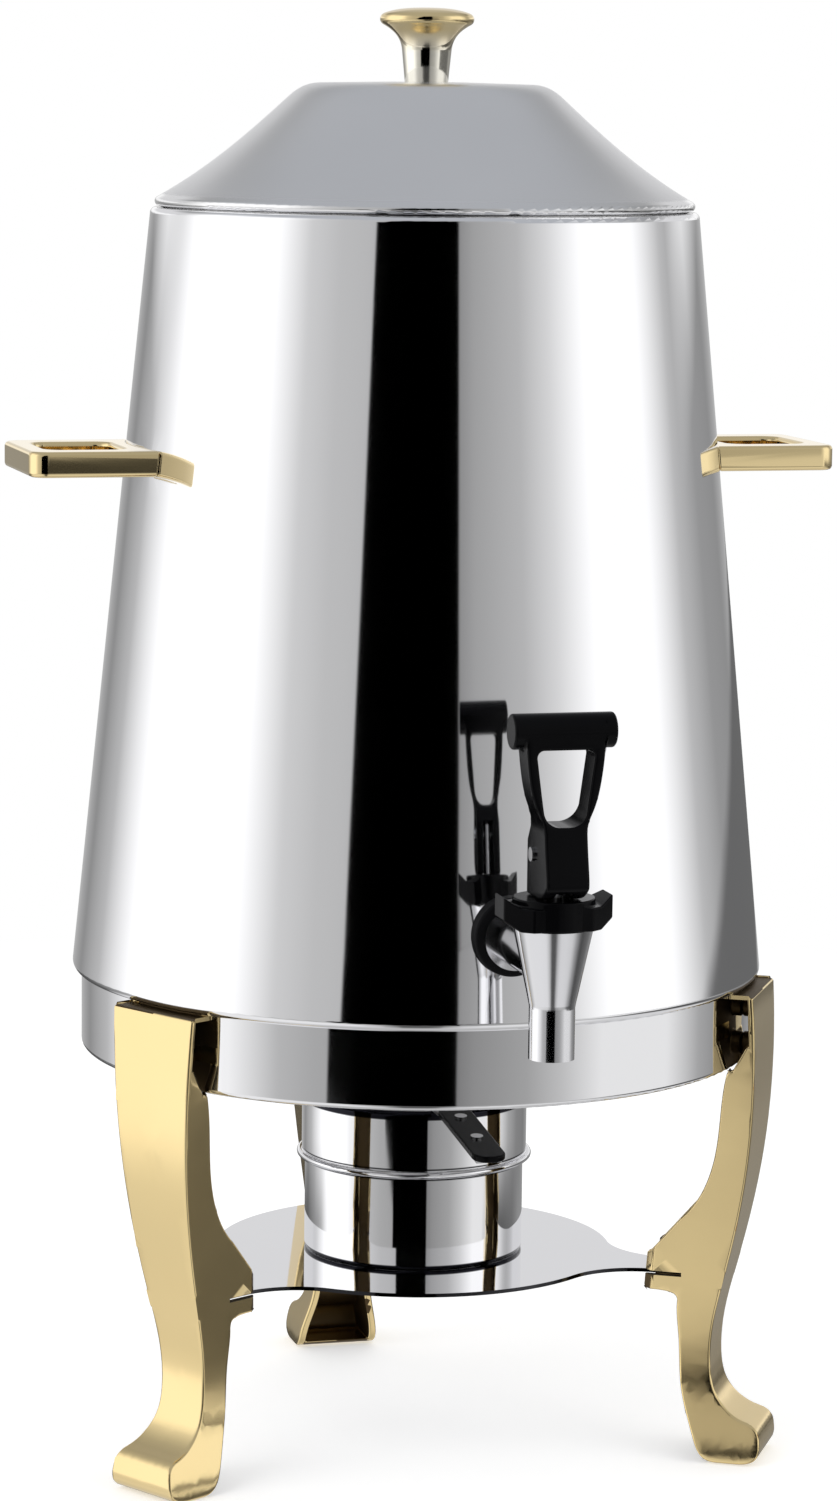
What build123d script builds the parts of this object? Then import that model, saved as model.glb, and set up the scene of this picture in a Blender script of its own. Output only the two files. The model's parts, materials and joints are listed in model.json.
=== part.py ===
from build123d import *

import os
from math import cos, radians, sin, sqrt

# Coffee urn with a tap, a lift-off lid and a fuel burner under the tank.
#
# Millimetres, +Z up. The origin is on the urn's axis, on the surface that it stands on.
# The tap and the burner's grip face -Y, and the two handles stand out along X.

# ---------------------------------------------------------------- clearances and sheet
sheet = 1.0  # stainless sheet of the body, skirt and lid
seat_gap = 0.1  # between fixed pieces that meet on a curved seat
tank_gap = 0.2  # between the tank floor's upturned edge and the wall
lift_gap = 0.3  # between pieces that lift, slide or swing apart
pin_gap = 0.05  # radial running clearance of a pin
thread_gap = 0.1  # radial clearance of a screw in its tapped hole

# ---------------------------------------------------------------- skirt and tank
skirt_r = 132.3
skirt_foot_z = 157.7
skirt_hem = 4.0  # width of the hem turned in at the foot
skirt_bend = 2.0
floor_seat_z = 196.0  # the skirt's top flange, which carries the tank floor
floor_seat_width = 14.0
floor_rise = 4.0  # the floor's raised middle
floor_middle_r = 92.0
floor_flange = 12.0  # height of the floor's upturned edge
floor_bend = 4.0

body_foot_z = 188.0
body_foot_r = 136.1
body_top_z = 486.0
body_top_r = 106.3
body_lip = 4.0  # width of the flange turned in round the mouth
body_top_bend = 2.5
body_foot_bend = 3.0

# ---------------------------------------------------------------- lid and knob
crown_rise = 48.8  # lid's top above the body's top
crown_r = 41.0
crown_fall = 0.6
knob_seat_r = 14.0
shoulder_r = 54.3
shoulder_drop = 6.9
shoulder_slope = -0.93
rim_slope = -0.56
rim_inset = 3.5  # rolled rim's centre line, in from the body's top edge
rim_bead_r = 1.9
collar_depth = 10.0  # how far the collar reaches below the body's top
collar_hem = 1.6
collar_sheet = 0.8
collar_seat_gap = 0.15  # under the lid's slope
knob_height = 28.5
knob_stem_r = 8.4
knob_neck_r = 9.6
knob_neck_rise = 12.2
knob_rim_r = 18.2
knob_rim_drop = 4.3
knob_bell = (2.2, 5.7)  # out and up from the neck, to the middle of the bell
knob_lip_under = (1.4, 2.4)  # in and down from the rim
knob_lip_over = (1.8, 2.2)  # in and up from the rim
knob_screw_r = 2.4
knob_screw_head_r = 4.5
knob_screw_head_t = 2.8
knob_screw_bite = 12.0
knob_washer_r = 8.0
knob_washer_t = 1.2

# ---------------------------------------------------------------- legs
leg_azimuths = {"leg_front_left": -150.0, "leg_front_right": -30.0, "leg_back": 90.0}
leg_top_z = 187.2
leg_stand_out = 7.7  # outer face of a leg, out from the skirt
leg_strip = 2.4  # thickness of the outer strip
leg_wall = 3.2  # thickness of the two side walls
toe_r = 145.3
toe_z = 9.0
sole_front = 9.0  # where the flat sole starts and ends, in from the toe
sole_back = 17.0
lug_r = 95.2
leg_inner_margin = 6.0  # how far the legs' cutting outlines run past them, towards the axis
leg_outer_margin = 4.0  # and away from it
lug_half_height = 6.8
lug_chamfer = 2.5
lug_tip_half = 9.0
lug_nose = 5.6  # length over which the lug narrows to its tip
lug_nose_taper = 5.0  # what each side loses over that length
# The leg's lines as (inset, height), from the top down. The knee's insets are from the leg's
# face, the ankle's from the toe, and the shin's from the leg's seat on the skirt.
knee_front = ((-1.0, 160.0), (1.0, 123.0), (10.0, 75.5))
ankle_front = ((20.0, 55.0), (21.0, 38.0), (18.8, 27.5), (12.3, 19.6), (5.9, 16.4))
ankle_rear = ((26.9, 9.6), (32.4, 27.0), (33.9, 48.0), (34.7, 61.5))
shin_rear = ((9.7, 108.2), (4.1, 127.0), (2.1, 146.0))
leg_seat_inset = 2.0  # the seat's line, inside the skirt's face
lug_brow = ((0.0, 7.6), (4.8, 9.0), (7.4, 12.0), (17.0, 23.2))  # behind the lug's tip, above its middle
leg_half_widths = (
    (22.0, 187.2),
    (20.6, 160.0),
    (17.5, 118.0),
    (14.5, 80.0),
    (12.0, 38.0),
    (13.3, 22.0),
    (16.8, 6.0),
    (16.8, -1.0),
)
wall_top_rise = 9.8  # the side walls' sloping tops, over the skirt's foot, at the strip
boss_r = 4.5
leg_screw_r = 2.0
leg_screw_head_r = 3.8
leg_screw_head_t = 2.4
leg_screw_bite = 5.2
leg_screw_hole = 5.7
leg_screw_drops = (7.0, 22.0)  # below the leg's top

# ---------------------------------------------------------------- burner shelf
shelf_z = 74.5  # top of the shelf
shelf_t = 1.5
shelf_r = 78.5
shelf_arm_half = 9.8
shelf_arm_blend = 30.0
slot_depth = 17.3
slot_slack = 0.2  # above the shelf, in the lugs' slots

# ---------------------------------------------------------------- handles
handle_z = 390.4  # middle of the handles' height
handle_t = 9.8
handle_reach = 44.6  # from the body's wall to the loop's end
handle_half = 32.0
handle_side_bar = 13.0
handle_end_bar = 9.0
handle_root_bar = 5.7
handle_corner = 7.0
handle_edge = 1.0
handle_screw_azimuth = 11.0
handle_screw_r = 2.0
handle_screw_head_r = 4.2
handle_screw_head_t = 2.6
handle_screw_bite = 12.0
handle_washer_r = 5.0
handle_washer_t = 1.6

# ---------------------------------------------------------------- tap
tap_reach = 187.0  # spout's axis, from the urn's axis
tap_z = 223.5  # shank's axis
spout_r = 8.4
spout_bore_r = 6.4
spout_drop = 35.0  # spout's mouth, below the shank's axis
spout_straight = 19.4
spout_blend = 8.0
chamber_r = 14.5  # valve chamber's outside, at its shoulder
chamber_rise = 12.8  # shoulder above the shank's axis
chamber_bore_r = 8.0
seat_drop = 8.5  # valve seat, below the shank's axis
neck_r = 11.0
neck_height = 7.7
shank_r = 9.4
shank_bore_r = 5.5
shank_inside = 19.0  # length inside the tank wall
flange_r = 11.8
flange_t = 3.0
outer_washer_r = 14.8
outer_washer_t = 5.0
outer_washer_round = 1.2
inner_washer_r = 14.0
inner_washer_t = 3.5
nut_half_flats = 13.0
nut_t = 7.0
bonnet_r = 14.9
bonnet_top_t = 3.3
wing_reach = 20.3
wing_tip_half = 6.0
wing_waist = 13.2  # half depth of the wings' block, at the middle
wing_waist_half = 11.0  # half width of the block's flat front and back
wing_rise = 1.2  # wing tips, above the bonnet's top
wing_dip = 2.4  # the block's top, below the bonnet's

stem_r = 2.8
stem_guide_gap = 0.3
collar_r = 6.2
collar_t = 1.5
collar_above_seat = 11.0
cup_r = 7.3
cup_height = 6.0
spring_r = 5.4
spring_wire_r = 0.45
spring_turns = 5

# ---------------------------------------------------------------- tap lever
pivot_rise = 15.5  # pin's axis above the bonnet
pin_r = 1.5
pin_head_r = 2.6
pin_head_t = 1.0
cam_gap = 0.2  # between the cam foot and the bonnet, at rest
cam_lead = 5.87  # lift per radian of pull
lever_pull = 40.0  # full pull, in degrees
cam_margin = 3.0  # degrees of cam past the full pull
hub_half = 8.0
hub_rear = 8.0
hub_rise = 9.0
hub_ahead = 3.0  # the hub's front, ahead of the arm's
fork_half = 3.3
arm_depth = 12.5
loop_lean = 7.2  # grip bar's axis, forward of the pin
loop_height = 45.2  # grip bar's axis, above the pin
loop_half = 14.6
loop_wall = 3.7
loop_foot = 11.3  # foot of the D opening, above the pin
loop_foot_half = 7.2
loop_top_round = 2.5
grip_r = 6.4
grip_half = 19.0

# ---------------------------------------------------------------- burner
burner_sheet = 0.8
cup_outer_r = 43.4
cup_lip = 2.6
cap_outer_r = 44.7
cap_top_rise = 64.0  # cap's top above the shelf
cap_bead_rise = 38.4
cap_bead_r = 1.4
flame_hole_r = 22.0
damper_r = 26.0
damper_t = 1.2
damper_gap = 0.2
damper_pivot_y = -36.0
damper_pivot_r = 2.0
pivot_head_r = 4.0
pivot_foot_r = 3.4
pivot_head_t = 1.2
tongue_half = 5.0
tongue_bend = 56.0  # from the urn's axis to the bend in the damper's tongue
tongue_fall = 7.0  # degrees that the tongue slopes down, past its bend
tongue_length = 53.0  # past the bend
grip_start = 1.5  # past the bend
grip_length = 55.5
grip_half_width = 6.5
grip_t = 2.6
grip_rivets = (12.0, 35.0)  # past the bend
rivet_r = 1.5
rivet_head_r = 2.4
rivet_head_t = 0.8

# ---------------------------------------------------------------- worked-out sizes
body_slope = (body_foot_r - body_top_r) / (body_top_z - body_foot_z)
mouth_r = body_top_r - body_lip
leg_face_r = skirt_r + leg_stand_out
leg_seat_r = skirt_r - leg_seat_inset
leg_start_r = lug_r - leg_inner_margin
leg_end_r = max(leg_face_r, toe_r) + leg_outer_margin
leg_top_half = leg_half_widths[0][0]
lug_z = shelf_z - shelf_t / 2
bonnet_foot_z = tap_z + chamber_rise + seat_gap
neck_top_z = tap_z + chamber_rise + neck_height
bonnet_roof_z = neck_top_z + seat_gap
bonnet_top_z = bonnet_roof_z + bonnet_top_t
pivot_z = bonnet_top_z + pivot_rise
seat_z = tap_z - seat_drop
cup_z = seat_z + seat_gap
collar_z = seat_z + collar_above_seat
hub_t = 2 * hub_half
cam_height = pivot_rise - cam_gap
cap_top_z = shelf_z + cap_top_rise
cup_top_z = cap_top_z - burner_sheet
cap_bead_z = shelf_z + cap_bead_rise
damper_z = cap_top_z + damper_gap
crown_z = body_top_z + crown_rise
rim_r = body_top_r - rim_inset
rim_z = body_top_z + lift_gap + rim_bead_r
collar_outer_r = rim_r - rim_bead_r - lift_gap


def body_r(z):
    """Outer radius of the body's cone at a height."""
    return body_top_r + (body_top_z - z) * body_slope


def bent_sheet(points, bends, thickness, side=Side.RIGHT, plane=Plane.XZ):
    """Section of a bent sheet: a path on a plane, thickened to one side."""
    with BuildSketch(plane) as section:
        with BuildLine():
            FilletPolyline(*points, radius=bends)
            offset(amount=thickness, side=side)
        make_face()
    return section.sketch


def straight_section(points):
    """A straight-sided section in the plane of radius and height."""
    with BuildSketch(Plane.XZ) as section:
        with BuildLine():
            Polyline(*points, close=True)
        make_face()
    return section.sketch


def radial_plane(azimuth, radius, z):
    """A plane that faces outwards at an azimuth: x runs round the urn, y runs up."""
    a = radians(azimuth)
    outward = Vector(cos(a), sin(a), 0)
    return Plane(origin=outward * radius + Vector(0, 0, z), x_dir=(-sin(a), cos(a), 0), z_dir=outward)


def side_plane(azimuth):
    """An upright plane through the axis: x is the radius at an azimuth, y is the height."""
    a = radians(azimuth)
    return Plane(origin=(0, 0, 0), x_dir=(cos(a), sin(a), 0), z_dir=(sin(a), -cos(a), 0))


def round_bar(plane, radius, start, length, mode=Mode.ADD):
    """A round bar along a plane's normal, or with Mode.SUBTRACT a round hole."""
    with BuildSketch(plane.offset(start)) as section:
        Circle(radius)
    extrude(section.sketch, amount=length, mode=mode)


def save(piece, label):
    """Name a finished piece and write its STEP file."""
    piece.part.label = label
    export_step(piece.part, f"parts/{label}.step")


os.makedirs("parts", exist_ok=True)

# ================================================================ skirt and tank
screw_places = [
    radial_plane(azimuth, skirt_r - sheet, leg_top_z - drop)
    for azimuth in leg_azimuths.values()
    for drop in leg_screw_drops
]

with BuildPart() as skirt_ring:
    ring = bent_sheet(
        [
            (skirt_r - floor_seat_width, floor_seat_z),
            (skirt_r, floor_seat_z),
            (skirt_r, skirt_foot_z),
            (skirt_r - skirt_hem, skirt_foot_z),
        ],
        skirt_bend,
        sheet,
    )
    revolve(ring, axis=Axis.Z)
    for place in screw_places:
        round_bar(place, leg_screw_r + thread_gap, -sheet, 3 * sheet, Mode.SUBTRACT)
save(skirt_ring, "skirt_ring")

with BuildPart() as tank_floor:
    edge_z = floor_seat_z + floor_flange
    pan = bent_sheet(
        [
            (0, floor_seat_z + floor_rise),
            (floor_middle_r, floor_seat_z + floor_rise),
            (floor_middle_r + 2 * floor_rise, floor_seat_z),
            (body_r(floor_seat_z) - sheet - tank_gap, floor_seat_z),
            (body_r(edge_z) - sheet - tank_gap, edge_z),
        ],
        (floor_bend, floor_bend, skirt_bend),
        sheet,
        Side.LEFT,
    )
    revolve(pan, axis=Axis.Z)
save(tank_floor, "tank_floor")

handle_screw_places = [
    radial_plane(facing + tilt, 0, handle_z)
    for facing in (0, 180)
    for tilt in (-handle_screw_azimuth, handle_screw_azimuth)
]
shank_plane = Plane(origin=(0, 0, tap_z), x_dir=(1, 0, 0), z_dir=(0, -1, 0))

with BuildPart() as body_shell:
    cone = bent_sheet(
        [
            (mouth_r, body_top_z),
            (body_top_r, body_top_z),
            (body_foot_r, body_foot_z),
            (skirt_r + seat_gap, body_foot_z),
        ],
        (body_top_bend, body_foot_bend),
        sheet,
    )
    revolve(cone, axis=Axis.Z)
    round_bar(shank_plane, shank_r + thread_gap, body_r(tap_z) - 5 * sheet, 10 * sheet, Mode.SUBTRACT)
    for place in handle_screw_places:
        round_bar(place, handle_screw_r + thread_gap, body_r(handle_z) - 5 * sheet, 10 * sheet, Mode.SUBTRACT)
save(body_shell, "body_shell")

with BuildPart() as inside_of_body:
    cavity = [
        (0, floor_seat_z),
        (body_r(floor_seat_z) - sheet - seat_gap, floor_seat_z),
        (body_r(body_top_z) - sheet - seat_gap, body_top_z),
        (0, body_top_z),
    ]
    revolve(straight_section(cavity), axis=Axis.Z)
with BuildPart() as outside_of_body:
    envelope = [
        (0, floor_seat_z),
        (body_r(floor_seat_z) + seat_gap, floor_seat_z),
        (body_r(body_top_z) + seat_gap, body_top_z),
        (0, body_top_z),
    ]
    revolve(straight_section(envelope), axis=Axis.Z)


# ================================================================ legs
def leg_outer_edge():
    """Outer edge of a leg's side view: down its front, and round its toe to the sole."""
    knee = [(leg_face_r - inset, z) for inset, z in knee_front]
    ankle = [(toe_r - inset, z) for inset, z in ankle_front]
    front = Spline((leg_face_r, leg_top_z), *knee, *ankle)
    toe = Spline(front @ 1, (toe_r, toe_z), (toe_r - sole_front, 0), tangents=(front % 1, (-1, 0)))
    return front, toe


def behind(edge, depth, steps):
    """A smooth line at a depth behind an edge, on its right-hand side."""
    places = [step / steps for step in range(steps + 1)]
    return Spline(*[edge @ t + (edge % t).rotate(Axis.Z, -90) * depth for t in places])


def leg_side_view(azimuth):
    """The cabriole outline of a leg, with its lug, in an upright plane through the axis."""
    lug_foot_z = lug_z - lug_half_height
    with BuildSketch(side_plane(azimuth)) as view:
        with BuildLine():
            front, toe = leg_outer_edge()
            sole = Line(toe @ 1, (toe_r - sole_back, 0))
            calf = Spline(
                sole @ 1,
                *[(toe_r - inset, z) for inset, z in ankle_rear],
                (lug_r + 2 * lug_chamfer, lug_foot_z),
                tangents=((-1, 0), (-1, 0)),
            )
            lug = Polyline(
                calf @ 1,
                (lug_r + lug_chamfer, lug_foot_z),
                (lug_r, lug_foot_z + lug_chamfer),
                *[(lug_r + depth, lug_z + rise) for depth, rise in lug_brow],
            )
            shin = Spline(
                lug @ 1,
                *[(leg_seat_r - inset, z) for inset, z in shin_rear],
                (leg_seat_r, skirt_foot_z - seat_gap),
            )
            seat = Line(shin @ 1, (leg_seat_r, leg_top_z))
            Line(seat @ 1, front @ 0)
        make_face()
    return view.sketch


def leg_front_view(plane, wall):
    """Width of a leg over its height, less a wall: it tapers to the ankle and widens to the toe."""
    with BuildSketch(plane) as view:
        with BuildLine():
            right = Spline(*[(half - wall, z) for half, z in leg_half_widths])
            left = mirror(right, about=Plane.YZ)
            Line(right @ 0, left @ 0)
            Line(right @ 1, left @ 1)
        make_face()
    return view.sketch


def leg_channel_view(azimuth):
    """Side view of the hollow behind a leg's strip, open towards the axis and closed by the sole."""
    with BuildLine():
        front, toe = leg_outer_edge()
    with BuildSketch(side_plane(azimuth)) as view:
        with BuildLine():
            shin = behind(front, leg_strip, 14)
            foot = behind(toe, leg_strip, 6)
            Polyline(foot @ 1, (leg_start_r, (foot @ 1).Y), (leg_start_r, (shin @ 0).Y), shin @ 0)
        make_face()
    return view.sketch


def leg_wall_top(azimuth):
    """Side view of what is open behind the strip, above the side walls' sloping tops."""
    with BuildSketch(side_plane(azimuth)) as view:
        with BuildLine():
            Polyline(
                (lug_r, skirt_foot_z),
                (skirt_r, skirt_foot_z),
                (leg_face_r - leg_strip, skirt_foot_z + wall_top_rise),
                (leg_face_r, skirt_foot_z + wall_top_rise),
                (leg_face_r, leg_top_z + 1),
                (lug_r, leg_top_z + 1),
                close=True,
            )
        make_face()
    return view.sketch


def lug_cheeks(azimuth):
    """Plan of what is cut off both sides of a lug, so that it narrows to its tip."""
    plan = Plane(origin=(0, 0, 0), x_dir=side_plane(azimuth).x_dir, z_dir=(0, 0, 1))
    slope = lug_nose_taper / lug_nose
    with BuildSketch(plan) as view:
        with BuildLine():
            Polyline(
                (leg_start_r, lug_tip_half - slope * leg_inner_margin),
                (lug_r + 2 * lug_nose, lug_tip_half + 2 * lug_nose_taper),
                (leg_start_r, lug_tip_half + 2 * lug_nose_taper),
                close=True,
            )
        make_face()
        mirror(view.sketch_local, about=Plane.XZ)
    return view.sketch


def cast_leg(azimuth):
    """One leg: a U-section casting with a slotted lug for the shelf and two screw bosses."""
    front = radial_plane(azimuth, leg_start_r, 0)
    reach = leg_end_r - leg_start_r
    with BuildPart() as channel:
        extrude(leg_channel_view(azimuth), amount=leg_top_half, both=True)
        extrude(leg_front_view(front, leg_wall), amount=reach, mode=Mode.INTERSECT)
    with BuildPart() as recess:
        extrude(leg_channel_view(azimuth), amount=leg_top_half + 1, both=True)
        extrude(leg_wall_top(azimuth), amount=leg_top_half + 1, both=True, mode=Mode.INTERSECT)
    with BuildPart() as leg:
        extrude(leg_side_view(azimuth), amount=leg_top_half + 1, both=True)
        extrude(leg_front_view(front, 0), amount=reach, mode=Mode.INTERSECT)
        add(channel.part, mode=Mode.SUBTRACT)
        add(recess.part, mode=Mode.SUBTRACT)
        extrude(lug_cheeks(azimuth), amount=skirt_foot_z, mode=Mode.SUBTRACT)
        bosses = [radial_plane(azimuth, skirt_r, leg_top_z - drop) for drop in leg_screw_drops]
        for boss in bosses:
            round_bar(boss, boss_r, -seat_gap, leg_stand_out + seat_gap - leg_strip / 2)
        with Locations((0, 0, skirt_foot_z - seat_gap)):
            Cylinder(
                skirt_r + seat_gap,
                leg_top_z,
                align=(Align.CENTER, Align.CENTER, Align.MIN),
                mode=Mode.SUBTRACT,
            )
        for boss in bosses:
            round_bar(boss, leg_screw_r + thread_gap, -sheet, sheet + leg_screw_hole, Mode.SUBTRACT)
        with BuildSketch(side_plane(azimuth)) as slot:
            with Locations((lug_r - 1, shelf_z - shelf_t)):
                Rectangle(slot_depth + 1, shelf_t + slot_slack, align=(Align.MIN, Align.MIN))
        extrude(slot.sketch, amount=leg_top_half, both=True, mode=Mode.SUBTRACT)
    return leg


for leg_name, leg_azimuth in leg_azimuths.items():
    save(cast_leg(leg_azimuth), leg_name)

with BuildPart() as leg_screws:
    for place in screw_places:
        head_seat = place.offset(-seat_gap)
        round_bar(head_seat, leg_screw_head_r, 0, -leg_screw_head_t)
        round_bar(head_seat, leg_screw_r, 0, sheet + leg_screw_bite)
save(leg_screws, "leg_screws")

# ================================================================ burner shelf
with BuildPart() as burner_shelf:
    with BuildSketch(Plane.XY.offset(shelf_z - shelf_t)):
        Circle(shelf_r)
        arm_end = lug_r + slot_depth - seat_gap
        for azimuth in leg_azimuths.values():
            with Locations(Location((0, 0, 0), (0, 0, azimuth))):
                Rectangle(arm_end, 2 * shelf_arm_half, align=(Align.MIN, Align.CENTER))
        roots = vertices().filter_by(lambda v: v.center().length < shelf_r + 1)
        fillet(roots, radius=shelf_arm_blend)
    extrude(amount=shelf_t)
save(burner_shelf, "burner_shelf")


# ================================================================ handles
def rounded_rectangle(plane, start, end, half_width, corner):
    """A rounded rectangle on a plane, from one x to another and even about y = 0."""
    with BuildSketch(plane) as outline:
        with Locations(((start + end) / 2, 0)):
            Rectangle(abs(end - start), 2 * half_width)
        fillet(outline.vertices(), radius=corner)
    return outline.sketch


def loop_handle(facing):
    """A flat cast loop that stands out from the body along +X or -X, drilled for its two screws."""
    wall_r = body_r(handle_z)
    handle_end = wall_r + handle_reach
    hole_start = wall_r + handle_root_bar
    hole_end = handle_end - handle_end_bar
    hole_half = handle_half - handle_side_bar
    foot = Plane.XY.offset(handle_z - handle_t / 2)
    with BuildPart() as handle:
        block_start = wall_r - handle_half / 2
        block = rounded_rectangle(foot, facing * block_start, facing * handle_end, handle_half, handle_corner)
        extrude(block, amount=handle_t)
        hole = rounded_rectangle(foot, facing * hole_start, facing * hole_end, hole_half, handle_corner - 1)
        extrude(hole, amount=handle_t, mode=Mode.SUBTRACT)
        chamfer(handle.faces().filter_by(Axis.Z).edges(), length=handle_edge)
        add(outside_of_body.part, mode=Mode.SUBTRACT)
        for place in handle_screw_places:
            if place.z_dir.X * facing > 0:
                depth = handle_screw_bite + 2
                round_bar(place, handle_screw_r + thread_gap, wall_r - 2, depth + 2, Mode.SUBTRACT)
    return handle


save(loop_handle(-1), "handle_left")
save(loop_handle(1), "handle_right")

with BuildPart() as handle_washers:
    washer_start = body_r(handle_z) - sheet - handle_washer_t
    for place in handle_screw_places:
        round_bar(place, handle_washer_r, washer_start, 2 * handle_washer_t)
    add(inside_of_body.part, mode=Mode.INTERSECT)
    for place in handle_screw_places:
        round_bar(place, handle_screw_r + thread_gap, washer_start - 1, 3 * handle_washer_t, Mode.SUBTRACT)
save(handle_washers, "handle_washers")

with BuildPart() as handle_screws:
    for place in handle_screw_places:
        round_bar(place, handle_screw_head_r, washer_start, -handle_screw_head_t)
        round_bar(place, handle_screw_r, washer_start, handle_washer_t + sheet + handle_screw_bite)
save(handle_screws, "handle_screws")

# ================================================================ tap body
tap_side = Plane(origin=(0, -tap_reach, 0), x_dir=(1, 0, 0), z_dir=(0, -1, 0))
spout_axis = Axis((0, -tap_reach, 0), (0, 0, 1))
shoulder_z = tap_z + chamber_rise
spout_mouth_z = tap_z - spout_drop


def turned(points, mode=Mode.ADD):
    """A straight-sided section beside the spout's axis, turned about it."""
    with BuildSketch(tap_side) as section:
        with BuildLine():
            Polyline(*points, close=True)
        make_face()
    revolve(section.sketch, axis=spout_axis, mode=mode)


with BuildPart() as tap_body:
    with BuildSketch(tap_side) as casting:
        with BuildLine():
            spout_wall = FilletPolyline(
                (spout_r, spout_mouth_z),
                (spout_r, spout_mouth_z + spout_straight),
                (chamber_r, shoulder_z),
                radius=spout_blend,
            )
            Polyline(
                spout_wall @ 1,
                (neck_r, shoulder_z),
                (neck_r, neck_top_z),
                (0, neck_top_z),
                (0, spout_mouth_z),
                spout_wall @ 0,
            )
        make_face()
    revolve(casting.sketch, axis=spout_axis)
    wall_inside = body_r(tap_z) - sheet
    flange_start = body_r(tap_z) + outer_washer_t
    round_bar(shank_plane, shank_r, wall_inside - shank_inside, tap_reach - wall_inside + shank_inside)
    round_bar(shank_plane, flange_r, flange_start, flange_t)
    bore = [
        (0, spout_mouth_z),
        (spout_bore_r, spout_mouth_z),
        (spout_bore_r, seat_z),
        (chamber_bore_r, seat_z),
        (chamber_bore_r, neck_top_z),
        (0, neck_top_z),
    ]
    turned(bore, Mode.SUBTRACT)
    bore_start = wall_inside - shank_inside
    round_bar(shank_plane, shank_bore_r, bore_start, tap_reach - bore_start, Mode.SUBTRACT)
save(tap_body, "tap_body")

with BuildPart() as tap_outer_washer:
    round_bar(shank_plane, outer_washer_r, flange_start, -3 * outer_washer_t)
    add(outside_of_body.part, mode=Mode.SUBTRACT)
    fillet(tap_outer_washer.faces().sort_by(Axis.Y)[0].edges(), radius=outer_washer_round)
    round_bar(shank_plane, shank_r + thread_gap, flange_start, -4 * outer_washer_t, Mode.SUBTRACT)
save(tap_outer_washer, "tap_outer_washer")

nut_start = wall_inside - inner_washer_t
with BuildPart() as tap_inner_washer:
    round_bar(shank_plane, inner_washer_r, nut_start, 3 * inner_washer_t)
    add(inside_of_body.part, mode=Mode.INTERSECT)
    round_bar(shank_plane, shank_r + thread_gap, nut_start, 3 * inner_washer_t, Mode.SUBTRACT)
save(tap_inner_washer, "tap_inner_washer")

with BuildPart() as tap_nut:
    with BuildSketch(shank_plane.offset(nut_start)) as hexagon:
        RegularPolygon(nut_half_flats, 6, major_radius=False)
        Circle(shank_r + thread_gap, mode=Mode.SUBTRACT)
    extrude(hexagon.sketch, amount=-nut_t)
save(tap_nut, "tap_nut")

with BuildPart() as bonnet_wings:
    with BuildSketch(tap_side) as wing_front:
        with BuildLine():
            half = Polyline(
                (0, bonnet_foot_z),
                (bonnet_r, bonnet_foot_z),
                (wing_reach, bonnet_foot_z + 3 * wing_rise),
                (wing_reach, bonnet_top_z + wing_rise),
                (bonnet_r, bonnet_top_z - wing_dip),
                (0, bonnet_top_z - wing_dip),
            )
            mirror(half, about=Plane.YZ)
        make_face()
    extrude(wing_front.sketch, amount=wing_waist, both=True)
    with BuildSketch(Plane(origin=(0, -tap_reach, bonnet_foot_z))) as wing_plan:
        with BuildLine():
            front = Polyline(
                (-wing_reach, 0),
                (-wing_reach, -wing_tip_half),
                (-wing_waist_half, -wing_waist),
                (wing_waist_half, -wing_waist),
                (wing_reach, -wing_tip_half),
                (wing_reach, 0),
            )
            mirror(front, about=Plane.XZ)
        make_face()
    extrude(wing_plan.sketch, amount=2 * bonnet_r, mode=Mode.INTERSECT)

with BuildPart() as tap_bonnet:
    outside = [
        (0, bonnet_foot_z),
        (bonnet_r, bonnet_foot_z),
        (bonnet_r, bonnet_top_z),
        (0, bonnet_top_z),
    ]
    turned(outside)
    add(bonnet_wings.part)
    inside = [
        (0, bonnet_foot_z),
        (neck_r + thread_gap, bonnet_foot_z),
        (neck_r + thread_gap, bonnet_roof_z),
        (stem_r + stem_guide_gap, bonnet_roof_z),
        (stem_r + stem_guide_gap, bonnet_top_z),
        (0, bonnet_top_z),
    ]
    turned(inside, Mode.SUBTRACT)
save(tap_bonnet, "tap_bonnet")

# ================================================================ valve
with BuildPart() as valve_stem:
    stem_foot_z = cup_z + cup_height / 2
    stem = [
        (0, stem_foot_z),
        (stem_r, stem_foot_z),
        (stem_r, collar_z),
        (collar_r, collar_z),
        (collar_r, collar_z + collar_t),
        (stem_r, collar_z + collar_t),
        (stem_r, pivot_z + stem_r + 1),
        (0, pivot_z + stem_r + 1),
    ]
    turned(stem)
    eye = Plane(origin=(0, -tap_reach, pivot_z), x_dir=(0, -1, 0), z_dir=(1, 0, 0))
    round_bar(eye, pin_r + pin_gap, -2 * stem_r, 4 * stem_r, Mode.SUBTRACT)
save(valve_stem, "valve_stem")

with BuildPart() as seat_cup:
    cup = [
        (0, cup_z),
        (cup_r, cup_z),
        (cup_r - 0.8, cup_z + cup_height / 2),
        (stem_r + 1.6, cup_z + cup_height),
        (stem_r + pin_gap, cup_z + cup_height),
        (stem_r + pin_gap, stem_foot_z),
        (0, stem_foot_z),
    ]
    turned(cup)
save(seat_cup, "seat_cup")

with BuildPart() as lever_pin:
    round_bar(eye, pin_r, -hub_half - pin_gap, 2 * (hub_half + pin_gap))
    for facing in (-1, 1):
        round_bar(eye, pin_head_r, facing * (hub_half + pin_gap), facing * pin_head_t)
save(lever_pin, "lever_pin")

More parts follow.
